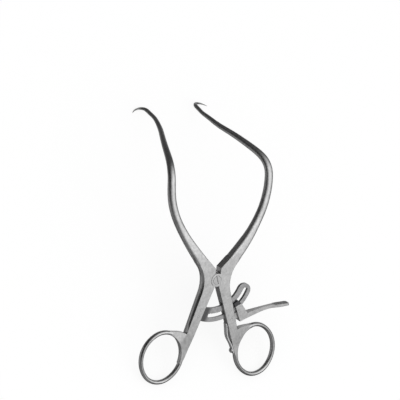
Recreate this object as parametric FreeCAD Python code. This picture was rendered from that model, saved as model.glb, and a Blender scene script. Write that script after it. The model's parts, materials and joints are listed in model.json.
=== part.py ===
"""Self retaining retractor: two hooked halves on a lap joint, held open by a slotted ratchet bar.

Every piece is drawn with the tips closed, X to the right, Y from the joint to the arms and Z out
of the front face, with the origin on the joint's axis in the middle of the thickness. The halves
are then turned open and the whole stands on its finger rings and its hooks.
"""
import FreeCAD, Part
import os
from math import atan2, cos, degrees, radians, sin, sqrt

Vec = FreeCAD.Vector
FRONT = Vec(0, 0, 1)
JOINT = Vec(0, 0, 0)

# Body of a half, in mm
body_thick = 6.1            # both laps together
shank_angle = 30.7          # inner edge of a shank from the long axis, tips closed
shank_wide_joint = 7.5      # width of a shank beside the joint
shank_wide_ring = 5.8       # width of a shank where its ring branches off
branch_along = 40.0         # from the joint to the branch of the ring
waist_out = 9.75            # half width of an open joint at its waist
back_flat = 12.0            # how far down a shank its back stays level

# Lap joint
lug_radius = 4.5
lug_clear = 0.15
lap_gap = 0.04
screw_radius = 1.5
screw_head_radius = 2.9
screw_head_deep = 1.3
screw_head_proud = 0.15
screw_slot_wide = 0.6
screw_slot_deep = 0.55
running_gap = 0.05          # radial clearance of what turns

# Finger ring, its wire and its place
ring_along = 60.0
ring_out = 15.4
ring_half_long = 17.1
ring_half_wide = 14.7
ring_end_radius = 12.6
ring_tilt = 8.3
ring_behind = 0.2           # ring's middle behind the middle of the thickness
ring_roll = 3.5             # degrees that the ring's outer side lies deeper
wire_wide = 2.8
wire_thick = 3.9

# Arm and hook
arm_root_wide = 6.8
arm_root_up = 14.6
root_sunk = 1.5             # how deep the round arm starts inside the flat body
root_proud = 0.02           # keeps its sides clear of the body's
corner_least = 0.16         # corner radius by half the arm's thickness, at the root
corner_most = 0.97          # and where the arm is round
arm_bow = 25.35
hook_up = 95.7
hook_drop = 77.8            # from the middle of the joint's thickness to the crest
tip_thick = 2.5             # width of the arm where the tips touch
tip_lean = 11.0             # how far the tips lean along the long axis
touching_length = 8.0
tip_gap = 0.2               # left between the tips when closed
hook_radius = 4.4
hook_tail_radius = 6.75
hook_tail_turn = 52.0
crest_thick = 1.25
point_thick = 0.25
arm_smooth = 0.03           # most that the arm's sections leave its smooth line
path_pull = 1.0             # weight of the end directions of the arm's middle line

# Ratchet
tooth_pitch = 3.0           # degrees about the joint
teeth_to_close = 7          # teeth between the drawn opening and closed tips
tooth_deep = 0.5
tooth_steep = 0.42          # run of the flank that holds, along the pitch
tooth_flat = 0.1            # flat at the bottom of a gap
tooth_clear = 0.06
bar_inner = 19.6
bar_outer = 29.1
bar_thick = 2.0
bar_nose = 2.8              # from the slot's end to the bar's end
bar_seat_deep = 4.6
bar_rivet_radius = 0.8
slot_inner = 23.1
slot_wide = 3.4
slot_spare = 2.0            # degrees left past the pawl with the tips closed
slot_first_gap = 12.5       # degrees from the left shank to the slot
slot_corner = 0.7
window_side_gap = 0.15
window_end_gap = 0.7

# Release lever
pawl_angle = 55.0           # middle of the pawl from the long axis, tips closed
pawl_teeth = 3
pawl_long = 4.8
pawl_slot_gap = 0.12        # left behind the pawl when it is let go
lever_thick = 5.2
lever_swing = 4.5           # degrees from engaged to let go
neck_gap = 0.1
pin_below_bar = 1.35        # from the bar's outer edge to the pin
pin_out = 3.1
pin_radius = 1.0
pin_boss_radius = 2.0
heel_below_pin = 2.7
heel_radius = 0.8
heel_proud = 0.25           # how far the heel stands out of the window
thumb_reach = 47.0          # from the shank's inner edge to the thumb tip
thumb_half_wide = 3.1       # of the thumb pad, front to back
thumb_neck = 1.7            # half width behind the pad

# Leaf spring
leaf_thick = 0.7
leaf_wide = 3.6
leaf_forward = 0.6          # its middle in front of the middle of the thickness
leaf_past_heel = 1.2
leaf_screw_to_ring = 6.8    # from its screw to the middle of the ring, along the shank
leaf_foot_half = 1.8        # from the screw to the foot's end
leaf_bow = 1.5
leaf_gap = 0.05
leaf_screw_radius = 0.8
leaf_screw_deep = 2.6
leaf_head_radius = 1.9
leaf_head_high = 1.7

half_opening = tooth_pitch * teeth_to_close / 2
half_thick = body_thick / 2
slot_outer = slot_inner + slot_wide
pin_along = sqrt((bar_outer + pin_below_bar + pin_radius) ** 2 - pin_out ** 2)
heel_along = pin_along + heel_below_pin
leaf_top_along = heel_along - leaf_past_heel
leaf_screw_along = ring_along - leaf_screw_to_ring
past = 5.0                  # overrun of a cutting tool


def polar(radius, angle, z=0.0):
    """Point at a radius from the joint, its angle taken from the shanks' end of the long axis."""
    return Vec(radius * sin(radians(angle)), -radius * cos(radians(angle)), z)


def on_shank(along, out, z=0.0):
    """Point along the right shank's inner edge and out from it, tips closed."""
    a = radians(shank_angle)
    return Vec(along * sin(a) + out * cos(a), -along * cos(a) + out * sin(a), z)


def line(a, b):
    return Part.LineSegment(a, b).toShape()


def arc(a, middle, b):
    return Part.Arc(a, middle, b).toShape()


def spline(points, start=None, end=None):
    """Smooth edge through points, with its end directions where they are given."""
    curve = Part.BSplineCurve()
    if start is None:
        curve.interpolate(points)
    else:
        curve.interpolate(points, InitialTangent=start, FinalTangent=end)
    return curve


def face_of(edges):
    return Part.Face(Part.Wire(Part.__sortEdges__(edges)))


def polygon(points):
    return Part.Face(Part.makePolygon(points + points[:1]))


def raised(face, low, high):
    """Solid over a flat face between two heights."""
    solid = face.extrude(Vec(0, 0, high - low))
    solid.translate(Vec(0, 0, low))
    return solid


def disc(centre, radius, low, high):
    return Part.makeCylinder(radius, high - low, Vec(centre.x, centre.y, low), FRONT)


def mirrored(shape):
    return shape.mirror(JOINT, Vec(1, 0, 0))


def turned(shape, angle, centre=JOINT):
    copy = shape.copy()
    copy.rotate(centre, FRONT, angle)
    return copy


def rounded_section(centre, tangent, normal, wide, thick, roundness):
    """Rectangle with round corners, square to a path: they are small at 0, and meet at 1."""
    side = normal.cross(tangent).normalize()
    w, t = wide / 2, thick / 2
    corner = min(w, t) * (corner_least + (corner_most - corner_least) * roundness)

    def place(u, v):
        return centre + side * u + normal * v

    edges = []
    turn = cos(radians(45))
    for n in range(4):
        u, v = (1, 1, -1, -1)[n], (1, -1, -1, 1)[n]
        u_mid, v_mid = w - corner, t - corner
        ends = [(u_mid, t), (w, v_mid)] if u == v else [(w, v_mid), (u_mid, t)]
        middle = (u_mid + corner * turn, v_mid + corner * turn)
        first, half_way, last = [place(u * q[0], v * q[1]) for q in (ends[0], middle, ends[1])]
        edges.append((first, half_way, last))
    sides = []
    for n, (first, half_way, last) in enumerate(edges):
        sides.append(arc(first, half_way, last))
        sides.append(line(last, edges[(n + 1) % 4][0]))
    return Part.Wire(sides)


def oval_arcs(half_long, half_wide, end):
    """Oval of four arcs with its long axis along X: centre, radius and end angles of each."""
    end_off = half_long - end
    side = (end_off ** 2 + half_wide ** 2 - end ** 2) / (2 * (half_wide - end))
    side_off = side - half_wide
    meet = degrees(atan2(side_off, end_off))
    return [
        (Vec(end_off, 0, 0), end, -meet, meet),
        (Vec(0, -side_off, 0), side, meet, 180 - meet),
        (Vec(-end_off, 0, 0), end, 180 - meet, 180 + meet),
        (Vec(0, side_off, 0), side, 180 + meet, 360 - meet),
    ]


def oval_face(half_long, half_wide, end):
    arcs = oval_arcs(half_long, half_wide, end)
    return face_of([Part.makeCircle(r, c, FRONT, first, last) for c, r, first, last in arcs])


def ring_frame():
    """Centre of the right ring and the directions of its long and wide axes."""
    a = radians(shank_angle - ring_tilt)
    centre = on_shank(ring_along, ring_out, -ring_behind)
    return centre, Vec(sin(a), -cos(a), 0), Vec(cos(a), sin(a), 0)


def on_ring(shape, roll=ring_roll):
    """Move a shape drawn about the oval's middle to the right ring's place."""
    centre, down, out = ring_frame()
    shape.rotate(JOINT, Vec(1, 0, 0), -roll)
    shape.rotate(JOINT, FRONT, degrees(atan2(down.y, down.x)))
    shape.translate(centre)
    return shape


def finger_ring():
    """Oval wire bent to a finger ring."""
    bends = []
    for centre, radius, first, last in oval_arcs(ring_half_long, ring_half_wide, ring_end_radius):
        start = centre + Vec(radius, 0, 0)
        wire = Part.Ellipse(start + FRONT * wire_thick / 2, start + Vec(wire_wide / 2, 0, 0), start)
        section = Part.Face(Part.Wire(wire.toShape()))
        section.rotate(centre, FRONT, first)
        bends.append(section.revolve(centre, FRONT, last - first))
    return on_ring(bends[0].fuse(bends[1:]).removeSplitter())


def ring_hole():
    """What the plan leaves open inside the ring, reaching a little into the wire."""
    less = wire_wide / 2 - 0.3
    hole = oval_face(ring_half_long - less, ring_half_wide - less, ring_end_radius - less)
    hole = on_ring(hole, 0)
    hole.translate(Vec(0, 0, ring_behind))
    return hole


def half_plan():
    """Front view of the flat part of the right half, from the arm's root to the ring."""
    root, root_way = arm_root()
    side = Vec(root_way.y, -root_way.x, 0)
    inner_root = root - side * arm_root_wide / 2
    outer_root = root + side * arm_root_wide / 2
    crotch = Vec(0.5, 8.3, 0)
    heel = on_shank(5.0, 0)
    shank_way = on_shank(1, 0)
    straight_end = on_shank(leaf_screw_along + leaf_foot_half + 0.5, 0)
    ring_side = on_shank(ring_along, ring_out - ring_half_wide)
    waist = Vec(waist_out, 1.5, 0)
    shank_top = on_shank(14, shank_wide_joint - 0.5)
    branch = on_shank(branch_along, shank_wide_ring)
    centre, down, out = ring_frame()
    centre = Vec(centre.x, centre.y, 0)
    ring_top = centre - down * (ring_half_long + wire_wide / 2 - 0.3)
    edges = [
        line(inner_root, crotch),
        line(crotch, heel),
        line(heel, straight_end),
        spline([straight_end, ring_side], shank_way * 5, down * 5).toShape(),
        line(ring_side, centre),
        line(centre, ring_top),
        spline([ring_top, branch], out * -10, on_shank(2, -10) - on_shank(0, 0)).toShape(),
        line(branch, shank_top),
        spline([shank_top, waist, outer_root], shank_way * -12, root_way * 12).toShape(),
        line(outer_root, inner_root),
    ]
    return face_of(edges).cut(ring_hole())


def side_profile():
    """Thickness of the flat part seen from its side, along the shank: its back rises to the wire."""
    rise = (ring_out - wire_wide / 2) * sin(radians(ring_roll)) - ring_behind
    front = rise + wire_thick / 2 - 0.05
    back = rise - wire_thick / 2 + 0.05
    wire_front = wire_thick / 2 - ring_behind
    top, ring_end, bottom = -40, leaf_screw_along - 2, 90
    outline = [
        Vec(top, 0, half_thick), Vec(branch_along, 0, half_thick), Vec(ring_end, 0, front),
        Vec(bottom, 0, front), Vec(bottom, 0, back), Vec(ring_end, 0, back),
        Vec(back_flat, 0, -half_thick), Vec(top, 0, -half_thick),
    ]
    solid = polygon(outline).extrude(Vec(0, 80, 0))
    solid.translate(Vec(0, -30, 0))
    web_side, far, web_start = shank_wide_ring - 0.3, 40, branch_along - 4
    low = half_thick - (far - web_side) * (half_thick - wire_front) / (ring_out - web_side)
    fall = [Vec(web_start, web_side, half_thick), Vec(web_start, far, low),
            Vec(web_start, far, past), Vec(web_start, web_side, past)]
    web_top = polygon(fall).extrude(Vec(bottom, 0, 0))
    solid = solid.cut(web_top)
    solid.rotate(JOINT, FRONT, shank_angle - 90)
    return solid


def arm_root():
    """Middle of the arm's first section and its direction."""
    way = radians(28)
    return Vec(8.8, arm_root_up, 0), Vec(sin(way), cos(way), 0)


def tip_way():
    """Direction of the arm's end, where the tips touch."""
    lean = radians(tip_lean)
    return Vec(0, sin(lean), -cos(lean))


def hook_start():
    """Middle of the arm where the hook's bend begins."""
    crest = Vec(tip_gap / 2 + tip_thick / 2 + hook_radius, hook_up, -hook_drop)
    return crest - tip_way() * hook_radius - Vec(hook_radius, 0, 0)


def arm_stations():
    """Middle of the arm with its width, thickness and roundness, from the root to the hook."""
    root, root_way = arm_root()
    touch_end = hook_start()
    touch_top = touch_end - tip_way() * touching_length
    return [
        (root - root_way * root_sunk, arm_root_wide + root_proud, body_thick + root_proud, 0.0),
        (Vec(14.3, 24.4, -0.7), 6.2, 6.5, 0.25),
        (Vec(18.5, 33.0, -1.4), 5.6, 5.9, 0.55),
        (Vec(21.7, 41.1, -2.5), 5.4, 5.8, 0.85),
        (Vec(24.3, 50.3, -3.6), 5.4, 5.7, 0.95),
        (Vec(arm_bow, 60.0, -4.75), 5.5, 5.6, 1.0),
        (Vec(24.5, 70.4, -5.8), 5.35, 5.4, 1.0),
        (Vec(23.3, 75.8, -7.1), 5.2, 5.2, 1.0),
        (Vec(21.7, 79.9, -10.1), 5.0, 5.0, 1.0),
        (Vec(19.2, 83.1, -15.7), 4.7, 4.7, 1.0),
        (Vec(16.3, 85.2, -23.1), 4.35, 4.35, 1.0),
        (Vec(9.4, 88.7, -40.4), 3.7, 3.7, 1.0),
        (touch_top + Vec(3.9, -3.0, 15.5), 3.3, 3.3, 1.0),
        (touch_top + Vec(1.45, -1.25, 7.5), 2.85, 2.85, 1.0),
        (touch_top, tip_thick, tip_thick, 1.0),
        ((touch_top + touch_end) * 0.5, tip_thick, tip_thick, 1.0),
        (touch_end, tip_thick, tip_thick, 1.0),
    ]


def hook_stations():
    """Sharp hook: a quarter bend out to the crest, then a wider bend down to the point."""
    start, way = hook_start(), tip_way()
    out = Vec(1, 0, 0)
    centre = start + out * hook_radius
    tail_centre = centre + way * (hook_radius - hook_tail_radius)
    stations = []
    for turn in (30, 60, 90):
        a = radians(turn)
        middle = centre - out * (hook_radius * cos(a)) + way * (hook_radius * sin(a))
        wide = tip_thick + (crest_thick - tip_thick) * turn / 90
        stations.append((middle, wide, wide, 1.0))
    for part in (1 / 3, 2 / 3, 1.0):
        a = radians(hook_tail_turn * part)
        middle = tail_centre + out * (hook_tail_radius * sin(a)) + way * (hook_tail_radius * cos(a))
        wide = crest_thick + (point_thick - crest_thick) * part
        stations.append((middle, wide, wide, 1.0))
    return stations


def arm_and_hook():
    """Arm and hook over close sections of one smooth middle line."""
    stations = arm_stations() + hook_stations()
    a = radians(hook_tail_turn)
    end_way = Vec(1, 0, 0) * cos(a) - tip_way() * sin(a)
    path = spline([s[0] for s in stations], arm_root()[1] * path_pull, end_way * path_pull)
    marks = [path.parameter(s[0]) for s in stations]
    normal = FRONT
    sections = []
    for point in path.toShape().discretize(Deflection=arm_smooth):
        u = path.parameter(point)
        i = max(k for k in range(len(marks) - 1) if marks[k] <= u + 1e-9)
        part = (u - marks[i]) / (marks[i + 1] - marks[i])
        sizes = [p + (q - p) * part for p, q in zip(stations[i][1:], stations[i + 1][1:])]
        tangent = path.tangent(u)[0]
        across = Vec(1, 0, 0).cross(tangent)
        if across.Length > 0.1:
            across.normalize()
            normal = across if across.dot(normal) > 0 else across * -1
        sections.append(rounded_section(point, tangent, normal, *sizes))
    return Part.makeLoft(sections, True, True)


def plain_half():
    """What both halves share, as a right half."""
    body = raised(half_plan(), -half_thick, half_thick).common(side_profile())
    return body


def lug(low, high):
    return disc(JOINT, lug_radius, low, high)


def right_half(common):
    """Front lug, counterbore for the screw, and the window for the bar and the lever."""
    body = common.cut(disc(JOINT, lug_radius + lug_clear, -half_thick - past, lap_gap / 2))
    body = body.fuse(lug(lap_gap / 2, half_thick))
    body = body.cut(disc(JOINT, screw_radius + running_gap, -past, half_thick + past))
    head_floor = half_thick - screw_head_deep
    body = body.cut(disc(JOINT, screw_head_radius + running_gap, head_floor, half_thick + past))
    body = body.cut(disc(on_shank(pin_along, pin_out), pin_radius, -past, past))
    return body.cut(window().fuse(leaf_screw_hole()))


def left_half(common, bar_blank):
    """Back lug, the recess for the other lug, and the mortise for the ratchet bar."""
    body = mirrored(common)
    body = body.cut(disc(JOINT, lug_radius + lug_clear, -lap_gap / 2, half_thick + past))
    body = body.fuse(lug(-half_thick, -lap_gap / 2))
    body = body.cut(disc(JOINT, screw_radius, -half_thick - past, past))
    return body.cut(bar_blank.fuse(bar_rivets()))


def window():
    """Opening across the right shank for the ratchet bar and the lever's neck and heel."""
    high = bar_thick / 2 + window_side_gap
    top = sqrt(bar_inner ** 2 - shank_wide_joint ** 2) - window_end_gap
    bottom = heel_along + heel_radius + window_end_gap
    corners = [(top, -past), (top, 2 * past), (bottom, 2 * past), (bottom, -past)]
    return raised(polygon([on_shank(s, p) for s, p in corners]), -high, high)


def joint_screw():
    head_floor = half_thick - screw_head_deep
    head = disc(JOINT, screw_head_radius, head_floor + lap_gap, half_thick + screw_head_proud)
    rim = [e for e in head.Edges if e.BoundBox.ZMin > half_thick]
    head = head.makeChamfer(screw_head_proud * 0.9, rim)
    stem = disc(JOINT, screw_radius, -half_thick, head_floor + lap_gap + 0.5)
    slot_long = 4 * screw_head_radius
    slot_floor = half_thick + screw_head_proud - screw_slot_deep
    corner = Vec(-screw_slot_wide / 2, -slot_long / 2, slot_floor)
    slot = Part.makeBox(screw_slot_wide, slot_long, past, corner)
    slot.rotate(JOINT, FRONT, 8)
    return head.fuse(stem).removeSplitter().cut(slot)


def arc_band(inner, outer, first, last, low, high):
    """Part of a flat ring about the joint between two angles."""
    middle = (first + last) / 2
    edges = [
        arc(polar(inner, first), polar(inner, middle), polar(inner, last)),
        line(polar(inner, last), polar(outer, last)),
        arc(polar(outer, last), polar(outer, middle), polar(outer, first)),
        line(polar(outer, first), polar(inner, first)),
    ]
    return raised(face_of(edges), low, high)


def pawl_half_span():
    return tooth_pitch * pawl_teeth / 2


def slot_ends():
    """First and last angle of the bar's slot, tips closed."""
    return -shank_angle + slot_first_gap, pawl_angle + pawl_half_span() + slot_spare


def bar_blank():
    """Ratchet bar before its slot is cut, with its seat in the left shank and a round nose."""
    z = bar_thick / 2
    seat = -shank_angle - degrees(bar_seat_deep / bar_outer)
    nose_radius = (bar_outer - bar_inner) / 2
    nose_middle = bar_inner + nose_radius
    end = slot_ends()[1] + degrees((bar_nose - nose_radius) / nose_middle)
    bar = arc_band(bar_inner, bar_outer, seat, end, -z, z)
    return bar.fuse(disc(polar(nose_middle, end), nose_radius, -z, z)).removeSplitter()


def tooth_gap(angle, clear=0.0):
    """Saw tooth gap in the slot's inner edge; with a clearance, the tooth that fills it."""
    pitch = radians(tooth_pitch) * slot_inner
    floor = slot_inner + clear
    top = slot_inner + tooth_deep + 0.3
    rise = (top - floor) / tooth_deep
    gentle = pitch - tooth_steep - tooth_flat
    mouth = pitch / 2 - clear
    points = [
        polar(top, angle + degrees((mouth + tooth_steep * (rise - 1)) / slot_inner)),
        polar(floor, angle + degrees((mouth - tooth_steep) / slot_inner)),
        polar(floor, angle + degrees((mouth - tooth_steep - tooth_flat) / slot_inner)),
        polar(top, angle - degrees((pitch / 2 - clear + gentle * (rise - 1)) / slot_inner)),
    ]
    return polygon(points)


def ratchet_bar():
    """Curved bar with a slot that is toothed on its inner edge, drawn for closed tips."""
    first, last = slot_ends()
    slot = arc_band(slot_inner + tooth_deep, slot_outer, first, last, -past, past)
    corners = [e for e in slot.Edges if abs(e.BoundBox.ZLength - 2 * past) < 0.01]
    slot = slot.makeFillet(slot_corner, corners)
    gaps = []
    count = int((pawl_angle - first - tooth_pitch) / tooth_pitch)
    for n in range(-count, pawl_teeth // 2 + 1):
        gaps.append(raised(tooth_gap(pawl_angle + n * tooth_pitch), -past, past))
    return bar_blank().cut(slot.fuse(gaps).fuse(bar_rivets())).removeSplitter()


def bar_rivets():
    """Two flush rivets across the left shank and the bar's seat."""
    rivets = []
    for radius in (bar_inner + 2.4, bar_outer - 2.4):
        out = bar_seat_deep * 0.55
        place = on_shank(sqrt(radius ** 2 - out ** 2), out)
        rivet = disc(place, bar_rivet_radius, -half_thick, half_thick)
        rivets.append(mirrored(rivet.common(side_profile())))
    return Part.makeCompound(rivets)


def lever_block():
    """Top corners of the lever's block, where the pawl sits, along and out of the shank."""
    return (slot_outer - 2.3, 8.6), (slot_outer - 2.8, 13.2)


def release_lever():
    """Forked block with a neck into the window, a heel, and the arched thumb piece."""
    z = lever_thick / 2
    block_in, block_out = lever_block()
    top_edge = [(0.8, 0.337), (1.9, 0.51), (3.4, 0.685), (5.7, 0.857), (7.5, 0.978)]
    low_edge = [(8.9, 0.97), (7.6, 0.857), (5.5, 0.685), (4.5, 0.505), (4.0, 0.335)]
    top_edge = [(pin_along + s, thumb_reach * part) for s, part in top_edge]
    low_edge = [(pin_along + s, thumb_reach * part) for s, part in low_edge]
    tip_point = on_shank(pin_along + 8.3, thumb_reach)
    low_start = on_shank(pin_along + 4.2, 9.2)
    edges = [
        line(on_shank(*block_in), on_shank(*block_out)),
        line(on_shank(*block_out), on_shank(*top_edge[0])),
        spline([on_shank(*q) for q in top_edge]).toShape(),
        arc(on_shank(*top_edge[-1]), tip_point, on_shank(*low_edge[0])),
        spline([on_shank(*q) for q in low_edge] + [low_start]).toShape(),
        line(low_start, on_shank(*block_in)),
    ]
    body = raised(face_of(edges), -z, z).common(lever_top_view())
    fork = bar_thick / 2 + window_side_gap
    body = body.cut(disc(JOINT, bar_outer + 0.3, -fork, fork))
    neck = bar_thick / 2 + window_side_gap - neck_gap
    pin_place = on_shank(pin_along, pin_out)
    boss = disc(pin_place, pin_boss_radius, -neck, neck)
    web = [(pin_along - 1.8, pin_out), (pin_along - 2.5, 9.6), (pin_along + 1.9, 10.2),
           (pin_along + 1.9, pin_out)]
    web = raised(polygon([on_shank(s, p) for s, p in web]), -neck, neck)
    heel_out = heel_radius - heel_proud
    heel = disc(on_shank(heel_along, heel_out), heel_radius, -neck, neck)
    shin = [(pin_along, pin_out - 1.7), (heel_along - 0.5, heel_out - 0.6),
            (heel_along + 0.7, heel_out + 0.4), (pin_along + 1.4, pin_out + 1.2)]
    shin = raised(polygon([on_shank(s, p) for s, p in shin]), -neck, neck)
    body = body.fuse([boss, web, heel, shin])
    hole = disc(pin_place, pin_radius + running_gap, -past, past)
    return body.cut(hole).removeSplitter()


def lever_top_view():
    """The lever's outline seen along the shank: full at the block, slim, then a round pad."""
    pad = Vec(thumb_reach - thumb_half_wide, 0, 0)
    wide = lever_thick / 2
    sides = []
    for sign in (1, -1):
        slim = [Vec(13.0, sign * wide, 0), Vec(24.0, sign * thumb_neck, 0),
                Vec(35.0, sign * thumb_neck, 0), pad + Vec(0, sign * thumb_half_wide, 0)]
        sides.append(line(Vec(-past, sign * wide, 0), slim[0]))
        sides.append(spline(slim, Vec(9, 0, 0), Vec(9, 0, 0)).toShape())
    ends = [pad + Vec(0, thumb_half_wide, 0), pad + Vec(thumb_half_wide, 0, 0),
            pad - Vec(0, thumb_half_wide, 0)]
    sides.append(arc(*ends))
    sides.append(line(Vec(-past, wide, 0), Vec(-past, -wide, 0)))
    solid = face_of(sides).extrude(Vec(0, 0, 60))
    solid.rotate(JOINT, Vec(1, 0, 0), 90)
    solid.rotate(JOINT, FRONT, shank_angle)
    return solid


def pawl():
    """Toothed cross bar through the slot, on two feet that stand on the lever's fork."""
    z = pawl_long / 2
    half_span = pawl_half_span()
    lift = pawl_lift()
    back = slot_outer - lift - pawl_slot_gap
    front = slot_inner + tooth_deep + tooth_clear
    bar = arc_band(front, back, pawl_angle - half_span, pawl_angle + half_span, -z, z)
    teeth = []
    for n in range(-(pawl_teeth // 2), pawl_teeth // 2 + 1):
        tooth = raised(tooth_gap(pawl_angle + n * tooth_pitch, tooth_clear), -z, z)
        teeth.append(tooth)
    bar = bar.fuse(teeth)
    block_in, block_out = lever_block()
    foot = bar_thick / 2 + window_side_gap
    seat = [on_shank(*block_in), on_shank(*block_out), polar(back - 0.5, pawl_angle + half_span),
            polar(back - 0.5, pawl_angle - half_span)]
    feet = [raised(polygon(seat), foot, z), raised(polygon(seat), -z, -foot)]
    return bar.fuse(feet).removeSplitter()


def pawl_lift():
    """How far the pawl's far end moves out from the joint when the lever is pressed."""
    pin = on_shank(pin_along, pin_out)
    place = polar(slot_inner + slot_wide / 2, pawl_angle + pawl_half_span())
    arm_length = (place - pin).Length
    turn = atan2(place.y - pin.y, place.x - pin.x) - radians(lever_swing)
    moved = pin + Vec(arm_length * cos(turn), arm_length * sin(turn), 0)
    return moved.Length - place.Length


def lever_pin():
    pin = disc(on_shank(pin_along, pin_out), pin_radius, -half_thick, half_thick)
    return pin.common(side_profile())


def leaf_spring():
    """Flat spring from its foot, bowed off the shank, to the lever's heel."""
    foot_end = leaf_screw_along + leaf_foot_half
    foot_top = leaf_screw_along - leaf_foot_half
    rest = heel_proud + leaf_gap
    inner = [(foot_top, 0), (foot_top - 3, -0.35), ((foot_top + heel_along) / 2, -leaf_bow),
             (heel_along, -rest), (leaf_top_along, -rest + 0.1)]
    outer = [(s, p - leaf_thick) for s, p in reversed(inner)]
    edges = [
        line(on_shank(foot_end, 0), on_shank(*inner[0])),
        spline([on_shank(*q) for q in inner]).toShape(),
        line(on_shank(*inner[-1]), on_shank(*outer[0])),
        spline([on_shank(*q) for q in outer]).toShape(),
        line(on_shank(*outer[-1]), on_shank(foot_end, -leaf_thick)),
        line(on_shank(foot_end, -leaf_thick), on_shank(foot_end, 0)),
    ]
    leaf = raised(face_of(edges), leaf_forward - leaf_wide / 2, leaf_forward + leaf_wide / 2)
    return leaf.cut(leaf_screw_rod(leaf_screw_radius + running_gap, leaf_thick + past, 0.0))


def leaf_screw_rod(radius, proud, deep):
    """Round rod square to the inner side of the right shank, at the spring's screw."""
    inward = on_shank(0, 1)
    start = on_shank(leaf_screw_along, -proud, leaf_forward)
    return Part.makeCylinder(radius, proud + deep, start, inward)


def leaf_screw_hole():
    return leaf_screw_rod(leaf_screw_radius, past, leaf_screw_deep)


def spring_screw():
    """Round head screw that holds the spring's foot."""
    stem = leaf_screw_rod(leaf_screw_radius, leaf_thick, leaf_screw_deep)
    inward = on_shank(0, 1)
    seat = on_shank(leaf_screw_along, -leaf_thick, leaf_forward)
    ball = (leaf_head_radius ** 2 + leaf_head_high ** 2) / (2 * leaf_head_high)
    dome = Part.makeSphere(ball, seat + inward * (ball - leaf_head_high))
    head = dome.common(leaf_screw_rod(ball + 1, leaf_thick + 2 * leaf_head_high, -leaf_thick))
    return head.fuse(stem).removeSplitter()


def resting_lean(ring, top):
    """Lean of the long axis at which a finger ring and a hook touch a table together."""
    lean = 25.0
    for step in range(6):
        boxes = []
        for shape in (ring, top):
            copy = turned(shape, -half_opening)
            copy.rotate(JOINT, Vec(1, 0, 0), lean)
            boxes.append(copy.optimalBoundingBox(False, False))
        rise = boxes[1].ZMin - boxes[0].ZMin
        run = boxes[1].YMax - boxes[0].YMin
        lean -= degrees(atan2(rise, run))
    return lean


def main():
    ring = finger_ring()
    top = arm_and_hook()
    common = plain_half().fuse([ring, top])
    blank = bar_blank()
    on_left = {
        "left_half": left_half(common, blank),
        "joint_screw": joint_screw(),
        "ratchet_bar": ratchet_bar(),
        "bar_rivets": bar_rivets(),
    }
    on_right = {
        "right_half": right_half(common),
        "release_lever": release_lever(),
        "pawl": pawl(),
        "lever_pin": lever_pin(),
        "leaf_spring": leaf_spring(),
        "spring_screw": spring_screw(),
    }
    lean = resting_lean(ring, top)
    print("lean", round(lean, 4), "pawl lift", round(pawl_lift(), 3))
    os.makedirs("parts", exist_ok=True)
    for pieces, opening in ((on_left, half_opening), (on_right, -half_opening)):
        for name, shape in pieces.items():
            placed = turned(shape, opening)
            placed.translate(Vec(0, 0, half_thick))
            placed.rotate(JOINT, Vec(1, 0, 0), lean)
            placed.exportStep("parts/" + name + ".step")
            print(name, len(placed.Solids), round(placed.Volume, 2), placed.isValid())


main()
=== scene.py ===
import bpy
import json
from math import cos, radians, sin
from mathutils import Matrix, Vector


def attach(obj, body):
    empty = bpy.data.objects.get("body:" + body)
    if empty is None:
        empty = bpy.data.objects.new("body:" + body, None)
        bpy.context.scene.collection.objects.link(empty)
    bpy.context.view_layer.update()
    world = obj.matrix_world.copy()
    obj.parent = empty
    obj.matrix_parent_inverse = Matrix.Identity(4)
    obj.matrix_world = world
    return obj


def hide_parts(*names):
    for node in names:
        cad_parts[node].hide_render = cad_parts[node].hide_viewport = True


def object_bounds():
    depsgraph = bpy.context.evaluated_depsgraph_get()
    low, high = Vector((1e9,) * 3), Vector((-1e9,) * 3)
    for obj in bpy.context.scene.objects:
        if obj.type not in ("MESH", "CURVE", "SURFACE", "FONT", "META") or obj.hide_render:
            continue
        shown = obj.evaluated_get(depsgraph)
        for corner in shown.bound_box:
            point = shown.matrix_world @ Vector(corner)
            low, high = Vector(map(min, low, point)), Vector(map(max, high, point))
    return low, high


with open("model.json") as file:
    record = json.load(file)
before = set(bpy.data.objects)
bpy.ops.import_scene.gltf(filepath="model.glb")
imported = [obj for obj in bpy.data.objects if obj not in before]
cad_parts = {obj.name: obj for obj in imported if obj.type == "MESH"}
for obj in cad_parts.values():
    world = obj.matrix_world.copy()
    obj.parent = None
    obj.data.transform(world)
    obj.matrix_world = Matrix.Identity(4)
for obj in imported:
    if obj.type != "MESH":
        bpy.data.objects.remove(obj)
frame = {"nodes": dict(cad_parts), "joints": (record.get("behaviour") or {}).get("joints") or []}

bl_info = {
    "name": "Self Retaining Retractor",
    "version": (1, 0, 0),
    "blender": (4, 5, 0),
    "location": "3D View > Sidebar > Retractor",
    "description": "Dresses the packed instrument in satin steel and sets it in a studio",
    "category": "Object",
}

CAD_BOX = [list(corner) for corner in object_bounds()]
MM = 0.001

# The instrument's own directions: out of its flat front, from half to half, and to the arms.
LEVER_HINGE = next(j for j in frame["joints"] if j["name"] == "lever_hinge")
PIN = Vector(LEVER_HINGE["pos_m"])
FRONT = Vector(LEVER_HINGE["axis"]).normalized()
ACROSS = Vector((1, 0, 0))
ALONG = FRONT.cross(ACROSS)

# The resting right shank's directions, down to its ring and out to the lever's side. The joint
# is the origin, and the left shank is the mirror image.
SHANK_TURN = radians(20.2)
SHANK_DOWN = ACROSS * sin(SHANK_TURN) - ALONG * cos(SHANK_TURN)
SHANK_OUT = ACROSS * cos(SHANK_TURN) + ALONG * sin(SHANK_TURN)

# The forgings: their thickness at the joint, the angle of the ground lines, and how far along
# the instrument the round arms begin.
BODY_THICK = 6.1 * MM
GRAIN_TURN = 31.3
ARM_START = 15 * MM

# Where a shank's back starts to near its front on the way down, and how fast it does.
BACK_LEVEL = 12 * MM
BACK_RISE = 0.0514

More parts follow.
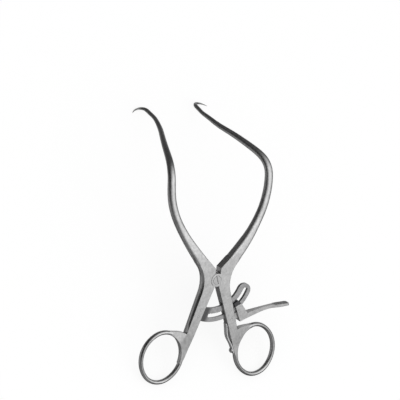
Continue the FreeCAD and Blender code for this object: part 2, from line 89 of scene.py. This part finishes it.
# The outer side that swells: from the arm's root to the ring's web down the shank, its places
# out from the shank's inner edge and from the middle of the instrument, and how it fades out.
SWELL_TOP = -13.6 * MM
SWELL_BOTTOM = 38.5 * MM
SWELL_OUT = (0.5 * MM, 20 * MM)
SWELL_ACROSS = 8 * MM
SWELL_FADE_TOP = 7 * MM
SWELL_FADE_BOTTOM = 4 * MM
SWELL_ROWS = (0.15, 0.32, 0.5, 0.68, 0.85)

# Cleaning of a copied mesh: how near its points merge, which bends stay sharp, and how far the
# flat faces count before the small ones in its shading.
MERGE_NEAR = 2e-6
MERGE_LEVELLED = 5e-6
LEVEL_NEAR = 0.04 * MM
SHARP_ANGLE = radians(35)
FLATS_WEIGHT = 90

# Softened edges of the small pieces.
PIECE_EDGE = 0.2 * MM
SCREW_EDGE = 0.08 * MM
PAWL_EDGE = 0.1 * MM

# Painted shade on the bar beside the left shank: direction, where it starts, where it is full,
# depth.
BAR_PAINTED_SHADE = (SHANK_OUT.reflect(ACROSS), -7.5 * MM, -3.6 * MM, 0.8)

# Ridges of the thumb pad: their width, the first one's place from the pad's tip, the size of a
# ridge's top and the share of the pitch that it fills.
RIDGE_WIDE = 5.0 * MM
RIDGE_FROM_TIP = 1.3 * MM
RIDGE_TOP = (0.25, 0.86, 1)
RIDGE_SHARE = 0.8
PROBE_START = 30 * MM

# The camera's axes, its distance and the middle of its picture.
VIEW_RIGHT = Vector((0.855, -0.131, 0.502))
VIEW_UP = Vector((0.079, 0.990, 0.124))
VIEW_BACK = VIEW_RIGHT.cross(VIEW_UP).normalized()
CAMERA_AWAY = 0.6
JOINT_FRONT = FRONT * BODY_THICK
PICTURE_MIDDLE = JOINT_FRONT - VIEW_RIGHT * 11.39 * MM + VIEW_UP * 52.22 * MM

# What the steel mirrors: a round tent of one level with broad soft lights on it. Each light has
# its direction, the cosines between which it fades in, and the level that it adds.
TENT_RADIUS = 0.35
TENT_LEVEL = 0.07
MAIN_LIGHT = VIEW_RIGHT * 0.72 + VIEW_UP * 0.07 + VIEW_BACK * 0.62
TENT_LIGHTS = (
    (MAIN_LIGHT, 0.2, 0.9, 0.80),
    (MAIN_LIGHT, 0.72, 0.96, 0.43),
    (VIEW_UP * 0.25 - VIEW_RIGHT * 0.1 - VIEW_BACK * 0.96, 0.6, 1.0, 0.5),
    (VIEW_RIGHT * -0.5 - VIEW_UP * 0.85 + VIEW_BACK * 0.1, 0.6, 0.95, 0.2),
    (VIEW_RIGHT * -0.97 - VIEW_UP * 0.06 - VIEW_BACK * 0.12, 0.86, 0.98, 0.36),
    (VIEW_RIGHT * -0.75 - VIEW_UP * 0.1 + VIEW_BACK * 0.65, 0.45, 0.9, -0.06),
)

# The floor, the two lamps over it and the air's light.
FLOOR_WIDE = 6
FLOOR_WHITE = 0.85
LAMP_AIM = (0, 0.02, 0)
KEY_PLACE = (0.7, -0.85, 0.95)
KEY_WIDE = 0.9
FILL_PLACE = (-0.9, 0.4, 1.0)
FILL_WIDE = 1.0
FILL_SHARE = 0.5
AIR_COLOUR = (0.9, 0.9, 0.9, 1)
AIR_LEVEL = 1.1
WHITE = (1, 1, 1, 1)


class Value:
    """A shader socket that can stand in sums."""

    def __init__(self, look, socket):
        self.look = look
        self.socket = socket

    def _maths(self, operation, *values):
        return self.look.node("ShaderNodeMath", {"operation": operation}, *values)

    def __add__(self, other):
        return self._maths("ADD", self, other)

    __radd__ = __add__

    def __sub__(self, other):
        return self._maths("SUBTRACT", self, other)

    def __rsub__(self, other):
        return self._maths("SUBTRACT", other, self)

    def __mul__(self, other):
        return self._maths("MULTIPLY", self, other)

    __rmul__ = __mul__

    def __truediv__(self, other):
        return self._maths("DIVIDE", self, other)

    def __rtruediv__(self, other):
        return self._maths("DIVIDE", other, self)

    def clamped(self):
        return self.look.node("ShaderNodeClamp", {}, self)

    def ramp(self, low, high):
        """0 at the low value and 1 at the high one, smooth between."""
        settings = {"interpolation_type": "SMOOTHSTEP"}
        return self.look.node("ShaderNodeMapRange", settings, self, low, high)


class Look:
    """The node tree of a material or of the world."""

    def __init__(self, tree, output):
        self.tree = tree
        tree.nodes.clear()
        self.end = tree.nodes.new(output)

    def node(self, kind, settings, *values, out=0, **named):
        """A node with its settings made first, then its sockets by order or by name."""
        made = self.tree.nodes.new(kind)
        for key, value in settings.items():
            setattr(made, key, value)
        places = dict(enumerate(values))
        places.update((key.replace("_", " "), value) for key, value in named.items())
        for place, value in places.items():
            socket = made.inputs[place]
            if isinstance(value, Value):
                self.tree.links.new(value.socket, socket)
            elif value is not None:
                socket.default_value = value
        return Value(self, made.outputs[out])

    def finish(self, surface):
        self.tree.links.new(surface.socket, self.end.inputs["Surface"])

    def mix_colour(self, factor, first, second):
        """A colour between two. Between its factor and its colours the node has five sockets
        for other kinds of values."""
        unused = [None] * 5
        return self.node("ShaderNodeMix", {"data_type": "RGBA"}, factor, *unused, first, second,
                         out=2)

    def dot(self, first, second):
        settings = {"operation": "DOT_PRODUCT"}
        return self.node("ShaderNodeVectorMath", settings, first, second, out="Value")

    def noise(self, coords, scale, detail=2.0, roughness=0.5):
        return self.node("ShaderNodeTexNoise", {}, Vector=coords, Scale=scale, Detail=detail,
                         Roughness=roughness)

    def coords(self, stretch=(1, 1, 1), turn=(0, 0, 0)):
        place = self.node("ShaderNodeTexCoord", {}, out="Object")
        return self.node("ShaderNodeMapping", {}, Vector=place, Scale=stretch, Rotation=turn)

    def unlit_rays(self):
        """1 for what the camera, a mirror or glass sees, 0 for light that falls on matt things."""
        rays = ("Is Camera Ray", "Is Glossy Ray", "Is Transmission Ray")
        camera, glossy, through = [self.node("ShaderNodeLightPath", {}, out=ray) for ray in rays]
        return (camera + glossy + through).clamped()


def new_material(name):
    """A material and its empty look."""
    material = bpy.data.materials.new(name)
    material.use_nodes = True
    return material, Look(material.node_tree, "ShaderNodeOutputMaterial")


def share_of(tone, share):
    """A darker or lighter tone, as a colour socket takes it."""
    return (*[c * share for c in tone], 1)


def steel(name, tone, roughness, grain, turn=(0, 0, 0), stretch=(1, 1, 1), edge=PIECE_EDGE,
          painted_shade=None):
    """Satin steel: a fine ground grain, cloudy tone, small pits, edges worn bright, and painted
    shade where asked.
    """
    material, look = new_material(name)
    plain = look.coords()
    clouds = look.noise(plain, scale=140, detail=3.0)
    mottle = look.noise(plain, scale=620, detail=2.0)
    specks = look.noise(plain, scale=2600, detail=2.0)
    lines = look.noise(look.coords(stretch, turn), grain, detail=3.0, roughness=0.6)
    smudges = look.noise(plain, scale=55, detail=4.0, roughness=0.6).ramp(0.5, 0.75)
    pits = look.noise(plain, scale=1500, detail=1.0).ramp(0.7, 0.78)

    # The softened normal leaves the true one only beside an edge, which is where steel wears.
    soft = look.node("ShaderNodeBevel", {"samples": 6}, Radius=edge)
    sharp = look.node("ShaderNodeNewGeometry", {}, out="Normal")
    worn = (1 - look.dot(soft, sharp)).ramp(0.02, 0.2)

    # The weights of the four noises add up to 4.2, so their mean stays at 0.5. Its contrast is
    # then raised about that.
    shade = (clouds + lines + mottle * 1.6 + specks * 0.6) / 4.2 - smudges * 0.08 - pits * 0.3
    contrast = (shade * 3 - 1).clamped()
    colour = look.mix_colour(contrast, share_of(tone, 0.74), share_of(tone, 1.2))
    colour = look.mix_colour(worn * 0.5, colour, share_of(tone, 1.25))
    # Painted shade: the colour darkens towards a neighbouring part that shades the piece.
    if painted_shade:
        way, unshaded_at, shaded_at, shade_depth = painted_shade
        near = look.dot(plain, tuple(way)).ramp(unshaded_at, shaded_at) * shade_depth
        colour = look.mix_colour(near, colour, share_of(tone, 0.1))

    rough = roughness + lines * 0.10 + smudges * 0.07 - clouds * 0.05 - worn * 0.08
    height = lines * 0.7 + specks * 0.45 - pits * 1.2
    bump = look.node("ShaderNodeBump", {}, Strength=0.7, Distance=4e-6, Height=height,
                     Normal=soft)
    surface = look.node("ShaderNodeBsdfPrincipled", {}, Base_Color=colour, Metallic=1.0,
                        Roughness=rough, Normal=bump)
    look.finish(surface)
    return material


def only(obj):
    """Select one object and nothing else."""
    bpy.ops.object.select_all(action="DESELECT")
    obj.select_set(True)
    bpy.context.view_layer.objects.active = obj


def merge_doubles(obj, near):
    only(obj)
    bpy.ops.object.mode_set(mode="EDIT")
    bpy.ops.mesh.select_all(action="SELECT")
    bpy.ops.mesh.remove_doubles(threshold=near)
    bpy.ops.object.mode_set(mode="OBJECT")


def select_faces(obj, wanted):
    """Select just the faces that pass a test."""
    bpy.context.tool_settings.mesh_select_mode = (False, False, True)
    bpy.ops.object.mode_set(mode="EDIT")
    bpy.ops.mesh.select_all(action="DESELECT")
    bpy.ops.object.mode_set(mode="OBJECT")
    for face in obj.data.polygons:
        face.select = wanted(face)


def dressed_copy(node, name, body, material, shape=None):
    """A copy of a node's mesh that stands for the node, merged, shaped, shaded and finished.

    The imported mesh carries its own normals. They go first, because they no longer fit once the
    points are merged or moved.
    """
    obj = bpy.data.objects.new(name, frame["nodes"][node].data.copy())
    bpy.context.scene.collection.objects.link(obj)
    only(obj)
    bpy.ops.mesh.customdata_custom_splitnormals_clear()
    merge_doubles(obj, MERGE_NEAR)
    if shape:
        shape(obj)
    bpy.ops.object.shade_smooth_by_angle(angle=SHARP_ANGLE)
    normals = obj.modifiers.new("normals", "WEIGHTED_NORMAL")
    normals.weight = FLATS_WEIGHT
    normals.keep_sharp = True
    bpy.ops.object.modifier_apply(modifier=normals.name)
    obj.data.materials.clear()
    obj.data.materials.append(material)
    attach(obj, body)
    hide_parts(node)
    return obj


def level_front(obj):
    """Bring the arm's root and the shank's front face into one plane."""
    for vertex in obj.data.vertices:
        above = vertex.co.dot(FRONT) - BODY_THICK
        if 0 < abs(above) < LEVEL_NEAR:
            vertex.co -= FRONT * above
    merge_doubles(obj, MERGE_LEVELLED)


def swell_outer_side(obj, sign, bulge):
    """Round a half's outer side from face to face, between the ring's web and the arm."""
    outward = SHANK_OUT if sign > 0 else SHANK_OUT.reflect(ACROSS)
    down = SHANK_DOWN if sign > 0 else SHANK_DOWN.reflect(ACROSS)
    level_front(obj)

    def outer_side(face):
        return (abs(face.normal.dot(FRONT)) < 0.05 and face.normal.dot(outward) > 0.3
                and SWELL_TOP < face.center.dot(down) < SWELL_BOTTOM
                and SWELL_OUT[0] < face.center.dot(outward) < SWELL_OUT[1]
                and abs(face.center.dot(ACROSS)) > SWELL_ACROSS)

    for share in SWELL_ROWS:
        select_faces(obj, outer_side)
        bpy.ops.object.mode_set(mode="EDIT")
        bpy.ops.mesh.bisect(plane_co=JOINT_FRONT * share, plane_no=FRONT)
        bpy.ops.object.mode_set(mode="OBJECT")
    group = obj.vertex_groups.new(name="outer side")
    inside = {i for face in obj.data.polygons if outer_side(face) for i in face.vertices}
    for i in inside:
        place = obj.data.vertices[i].co
        back = max(0, place.dot(down) - BACK_LEVEL) * BACK_RISE
        across = 2 * (place.dot(FRONT) - back) / (BODY_THICK - back) - 1
        fade = min(1, (SWELL_BOTTOM - place.dot(down)) / SWELL_FADE_BOTTOM,
                   (place.dot(down) - SWELL_TOP) / SWELL_FADE_TOP)
        group.add([i], max(0, 1 - across * across) * max(0, fade), "REPLACE")
    swell = obj.modifiers.new("swell", "DISPLACE")
    swell.strength = bulge
    swell.mid_level = 0
    swell.vertex_group = group.name
    bpy.ops.object.modifier_apply(modifier=swell.name)


def model_ridge():
    """A ridge of unit size about the origin, narrower at its top."""
    bpy.ops.object.select_all(action="DESELECT")
    bpy.ops.mesh.primitive_cube_add(size=1)
    ridge = bpy.context.object
    select_faces(ridge, lambda face: face.normal.z > 0.9)
    bpy.ops.object.mode_set(mode="EDIT")
    bpy.ops.transform.resize(value=RIDGE_TOP)
    bpy.ops.object.mode_set(mode="OBJECT")
    return ridge


def ridge_places(lever, count, pitch):
    """Points on the thumb pad's upper side, ridge by ridge, with their outward directions."""
    tip = max((v.co - PIN).dot(SHANK_OUT) for v in lever.data.vertices)
    places = []
    for n in range(count):
        out = tip - RIDGE_FROM_TIP - n * pitch
        start = PIN + SHANK_OUT * out - SHANK_DOWN * PROBE_START
        hit, place, normal, _ = lever.ray_cast(start, SHANK_DOWN)
        if not hit:
            raise RuntimeError("the thumb pad was not found under a ridge")
        places.append((place, normal))
    return places


def lay_ridges(lever, sizes):
    """One mesh of fine ridges across the thumb pad, half sunk in it."""
    pattern = model_ridge()
    size = (sizes.ridge_pitch * RIDGE_SHARE, RIDGE_WIDE, sizes.ridge_high * 2)
    ridges = []
    for place, normal in ridge_places(lever, sizes.ridge_count, sizes.ridge_pitch):
        ridge = bpy.data.objects.new("ridge", pattern.data.copy())
        bpy.context.scene.collection.objects.link(ridge)
        side = FRONT.cross(normal).normalized()
        standing = Matrix((side, FRONT, normal)).transposed()
        ridge.data.transform((standing @ Matrix.Diagonal(size)).to_4x4())
        ridge.data.transform(Matrix.Translation(place))
        ridges.append(ridge)
    bpy.data.objects.remove(pattern)
    only(ridges[0])
    for ridge in ridges:
        ridge.select_set(True)
    bpy.ops.object.join()
    joined = bpy.context.object
    joined.name = "thumb_ridges"
    return joined


class RetractorFinish(bpy.types.PropertyGroup):
    """Colours and finishes of the steel, with painted shade in the pawl's colour and painted light
    in the spring's.
    """

    steel_tone: bpy.props.FloatVectorProperty(
        name="Steel", description="Colour of the forged halves", subtype="COLOR",
        default=(0.60, 0.60, 0.60), min=0, max=1)
    bar_tone: bpy.props.FloatVectorProperty(
        name="Bar", description="Colour of the ratchet bar", subtype="COLOR",
        default=(0.45, 0.45, 0.455), min=0, max=1)
    # Dark as painted shade: the pawl sits in shadow between the bar and the lever block.
    pawl_shade_tone: bpy.props.FloatVectorProperty(
        name="Pawl", description="Colour of the hardened pawl", subtype="COLOR",
        default=(0.09, 0.09, 0.095), min=0, max=1)
    # Lighter than the halves' steel: painted light on the leaf's broad side.
    spring_lit_tone: bpy.props.FloatVectorProperty(
        name="Spring", description="Colour of the leaf spring", subtype="COLOR",
        default=(0.84, 0.84, 0.845), min=0, max=1)
    satin: bpy.props.FloatProperty(
        name="Satin", description="Roughness of the ground faces", subtype="FACTOR",
        default=0.27, min=0, max=1)
    rolled: bpy.props.FloatProperty(
        name="Rolled", description="How many times as rough the rolled spring is", default=1.9,
        min=1, max=3)


class RetractorSizes(bpy.types.PropertyGroup):
    """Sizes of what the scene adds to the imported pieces."""

    edge_radius: bpy.props.FloatProperty(
        name="Edge", description="How far the forged edges are softened", unit="LENGTH",
        default=0.35 * MM, min=0, max=1 * MM)
    arm_radius: bpy.props.FloatProperty(
        name="Arm edge", description="How far the arms' edges are softened", unit="LENGTH",
        default=2.2 * MM, min=0, max=3 * MM)
    side_bulge: bpy.props.FloatProperty(
        name="Side bulge", description="How far a half's outer side swells", unit="LENGTH",
        default=1.1 * MM, min=0, max=2 * MM)
    ridge_count: bpy.props.IntProperty(
        name="Ridges", description="Ridges across the thumb pad", default=15, min=1, max=40)
    ridge_pitch: bpy.props.FloatProperty(
        name="Ridge pitch", description="From one ridge to the next", unit="LENGTH",
        default=0.62 * MM, min=0.1 * MM, max=2 * MM)
    ridge_high: bpy.props.FloatProperty(
        name="Ridge height", description="Height of a ridge", unit="LENGTH",
        default=0.16 * MM, min=0, max=1 * MM)


class RetractorStudio(bpy.types.PropertyGroup):
    """The floor, the lamps and the camera."""

    floor_tone: bpy.props.FloatVectorProperty(
        name="Floor", description="Colour of the floor", subtype="COLOR",
        default=(0.9, 0.9, 0.9), min=0, max=1)
    key_power: bpy.props.FloatProperty(
        name="Key", description="Power of the large lamp", default=3.0, min=0, unit="POWER")
    picture_wide: bpy.props.FloatProperty(
        name="Picture", description="Width that the camera takes in", unit="LENGTH",
        default=0.26, min=0.05, max=2)


class RETRACTOR_OT_halves(bpy.types.Operator):
    """Dress the two forged halves."""

    bl_idname = "retractor.halves"
    bl_label = "Forged halves"

    def execute(self, context):
        finish, sizes = context.scene.retractor_finish, context.scene.retractor_sizes
        for side, sign in (("left", -1), ("right", 1)):
            turn = (0, 0, radians(GRAIN_TURN * -sign))
            satin = steel(side + "_satin", finish.steel_tone, finish.satin, grain=900,
                          turn=turn, stretch=(1, 0.12, 1), edge=sizes.edge_radius)
            arm_satin = steel(side + "_arm_satin", finish.steel_tone, finish.satin, grain=900,
                              turn=turn, stretch=(1, 0.12, 1), edge=sizes.arm_radius)
            half = dressed_copy(
                side + "_half", side + "_forging", side + "_side", satin,
                lambda obj: swell_outer_side(obj, sign, sizes.side_bulge))
            half.data.materials.append(arm_satin)
            for face in half.data.polygons:
                if face.center.dot(ALONG) > ARM_START:
                    face.material_index = 1
        return {"FINISHED"}


class RETRACTOR_OT_pivot(bpy.types.Operator):
    """Dress the slotted screw of the joint."""

    bl_idname = "retractor.pivot"
    bl_label = "Joint screw"

    def execute(self, context):
        finish = context.scene.retractor_finish
        turned = steel("turned_screw", finish.steel_tone, finish.satin, grain=2400,
                       edge=SCREW_EDGE)
        dressed_copy("joint_screw", "pivot_screw", "left_side", turned)
        return {"FINISHED"}


class RETRACTOR_OT_bar(bpy.types.Operator):
    """Dress the slotted ratchet bar and its rivets."""

    bl_idname = "retractor.bar"
    bl_label = "Ratchet bar"

    def execute(self, context):
        finish = context.scene.retractor_finish
        # The bar darkens beside the left shank: painted shade.
        bar = steel("bar_satin", finish.bar_tone, finish.satin, grain=1500,
                    stretch=(1, 0.3, 1), painted_shade=BAR_PAINTED_SHADE)
        dressed_copy("ratchet_bar", "slotted_bar", "left_side", bar)
        rivet = steel("rivet_satin", finish.steel_tone, finish.satin, grain=1800)
        dressed_copy("bar_rivets", "seat_rivets", "left_side", rivet)
        return {"FINISHED"}


class RETRACTOR_OT_lever(bpy.types.Operator):
    """Dress the release lever with its pin, and raise ridges across its thumb pad."""

    bl_idname = "retractor.lever"
    bl_label = "Release lever"

    def execute(self, context):
        finish, sizes = context.scene.retractor_finish, context.scene.retractor_sizes
        satin = steel("lever_satin", finish.steel_tone, finish.satin, grain=1200,
                      turn=(0, 0, SHANK_TURN), stretch=(0.3, 1, 1))
        lever = dressed_copy("release_lever", "thumb_lever", "lever", satin)
        ridges = lay_ridges(lever, sizes)
        ridges.data.materials.append(satin)
        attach(ridges, "lever")
        pin = steel("pin_satin", finish.steel_tone, finish.satin, grain=1800)
        dressed_copy("lever_pin", "fulcrum_pin", "right_side", pin)
        return {"FINISHED"}


class RETRACTOR_OT_pawl(bpy.types.Operator):
    """Dress the toothed pawl on the lever's fork."""

    bl_idname = "retractor.pawl"
    bl_label = "Pawl"

    def execute(self, context):
        finish = context.scene.retractor_finish
        # The pawl's dark tone is painted shade.
        satin = steel("pawl_painted_shade", finish.pawl_shade_tone, finish.satin, grain=1500, edge=PAWL_EDGE)
        dressed_copy("pawl", "toothed_pawl", "lever", satin)
        return {"FINISHED"}


class RETRACTOR_OT_leaf(bpy.types.Operator):
    """Dress the leaf spring and its screw."""

    bl_idname = "retractor.leaf"
    bl_label = "Leaf spring"

    def execute(self, context):
        finish = context.scene.retractor_finish
        # The leaf's light tone is painted light on its broad side.
        leaf = steel("spring_painted_light", finish.spring_lit_tone, finish.satin * finish.rolled,
                     grain=1500)
        dressed_copy("leaf_spring", "bowed_leaf", "right_side", leaf)
        head = steel("leaf_screw_satin", finish.steel_tone, finish.satin, grain=1800)
        dressed_copy("spring_screw", "leaf_screw", "right_side", head)
        return {"FINISHED"}


def lay_floor(tone):
    """Pale paper at the rings' and hooks' level, nearly plain white with the soft shadow."""
    bpy.ops.object.select_all(action="DESELECT")
    bpy.ops.mesh.primitive_plane_add(size=FLOOR_WIDE, location=(0, 0, CAD_BOX[0][2]))
    floor = bpy.context.object
    floor.name = "floor"
    paper, look = new_material("floor_paper")
    white_share = look.unlit_rays() * FLOOR_WHITE
    matt = look.node("ShaderNodeBsdfDiffuse", {}, Color=(*tone, 1))
    white = look.node("ShaderNodeEmission", {}, Color=WHITE, Strength=1.0)
    look.finish(look.node("ShaderNodeMixShader", {}, white_share, matt, white))
    floor.data.materials.append(paper)
    floor.visible_glossy = False
    return floor


def hang_tent():
    """Round tent that the steel mirrors, and that neither the camera nor the floor sees."""
    bpy.ops.object.select_all(action="DESELECT")
    bpy.ops.mesh.primitive_uv_sphere_add(segments=64, ring_count=32, radius=TENT_RADIUS)
    tent = bpy.context.object
    tent.name = "studio_tent"
    cloth, look = new_material("tent_cloth")
    way = look.node("ShaderNodeVectorMath", {"operation": "NORMALIZE"}, look.coords())
    level = TENT_LEVEL
    for direction, low, high, change in TENT_LIGHTS:
        facing = look.dot(way, tuple(direction.normalized()))
        level = facing.ramp(low, high) * change + level
    look.finish(look.node("ShaderNodeEmission", {}, Color=WHITE, Strength=level))
    tent.data.materials.append(cloth)
    tent.visible_camera = False
    tent.visible_diffuse = False
    tent.visible_shadow = False
    tent.visible_transmission = False
    return tent


def hang_lamp(name, place, wide, power):
    """Square soft lamp over the floor, which the steel doesn't mirror."""
    bpy.ops.object.light_add(type="AREA", location=place)
    lamp = bpy.context.object
    lamp.name = name
    lamp.data.energy = power
    lamp.data.size = wide
    lamp.visible_glossy = False
    away = Vector(place) - Vector(LAMP_AIM)
    lamp.rotation_euler = away.to_track_quat("Z", "Y").to_euler()


def light_air(scene):
    """Even light from all round, behind a plain white background."""
    world = bpy.data.worlds.new("studio_air")
    scene.world = world
    world.use_nodes = True
    look = Look(world.node_tree, "ShaderNodeOutputWorld")
    seen = look.unlit_rays()
    air = look.node("ShaderNodeBackground", {}, AIR_COLOUR, AIR_LEVEL)
    white = look.node("ShaderNodeBackground", {}, WHITE, 1.0)
    look.finish(look.node("ShaderNodeMixShader", {}, seen, air, white))


def set_camera(scene, picture_wide):
    """The photograph's view, without perspective."""
    bpy.ops.object.camera_add()
    camera = bpy.context.object
    camera.name = "camera"
    camera.data.type = "ORTHO"
    camera.data.ortho_scale = picture_wide
    camera.data.clip_start = 0.01
    camera.data.clip_end = 10
    camera.location = PICTURE_MIDDLE + VIEW_BACK * CAMERA_AWAY
    right = VIEW_UP.cross(VIEW_BACK).normalized()
    up = VIEW_BACK.cross(right)
    camera.rotation_mode = "QUATERNION"
    camera.rotation_quaternion = Matrix((right, up, VIEW_BACK)).transposed().to_quaternion()
    scene.camera = camera


class RETRACTOR_OT_stage(bpy.types.Operator):
    """Set up the floor, the studio and the camera."""

    bl_idname = "retractor.stage"
    bl_label = "Studio"

    def execute(self, context):
        studio = context.scene.retractor_studio
        lay_floor(studio.floor_tone)
        hang_tent()
        hang_lamp("key_lamp", KEY_PLACE, KEY_WIDE, studio.key_power)
        hang_lamp("fill_lamp", FILL_PLACE, FILL_WIDE, studio.key_power * FILL_SHARE)
        light_air(context.scene)
        set_camera(context.scene, studio.picture_wide)
        context.scene.view_settings.view_transform = "Standard"
        return {"FINISHED"}


class RETRACTOR_PT_build(bpy.types.Panel):
    """Lists the instrument's pieces and settings."""

    bl_label = "Retractor"
    bl_idname = "RETRACTOR_PT_build"
    bl_space_type = "VIEW_3D"
    bl_region_type = "UI"
    bl_category = "Retractor"

    def draw(self, context):
        for group in GROUPS:
            settings = getattr(context.scene, group)
            for name in settings.__annotations__:
                self.layout.prop(settings, name)
        for operator in OPERATORS:
            self.layout.operator(operator.bl_idname)


OPERATORS = (RETRACTOR_OT_halves, RETRACTOR_OT_pivot, RETRACTOR_OT_bar, RETRACTOR_OT_lever,
             RETRACTOR_OT_pawl, RETRACTOR_OT_leaf, RETRACTOR_OT_stage)
GROUPS = {"retractor_finish": RetractorFinish, "retractor_sizes": RetractorSizes,
          "retractor_studio": RetractorStudio}


def register():
    for name, group in GROUPS.items():
        bpy.utils.register_class(group)
        setattr(bpy.types.Scene, name, bpy.props.PointerProperty(type=group))
    for operator in OPERATORS:
        bpy.utils.register_class(operator)
    bpy.utils.register_class(RETRACTOR_PT_build)


def unregister():
    bpy.utils.unregister_class(RETRACTOR_PT_build)
    for operator in reversed(OPERATORS):
        bpy.utils.unregister_class(operator)
    for name, group in reversed(GROUPS.items()):
        delattr(bpy.types.Scene, name)
        bpy.utils.unregister_class(group)


def main():
    register()
    bpy.ops.retractor.halves()
    bpy.ops.retractor.pivot()
    bpy.ops.retractor.bar()
    bpy.ops.retractor.lever()
    bpy.ops.retractor.pawl()
    bpy.ops.retractor.leaf()
    bpy.ops.retractor.stage()


if __name__ == "__main__":
    main()
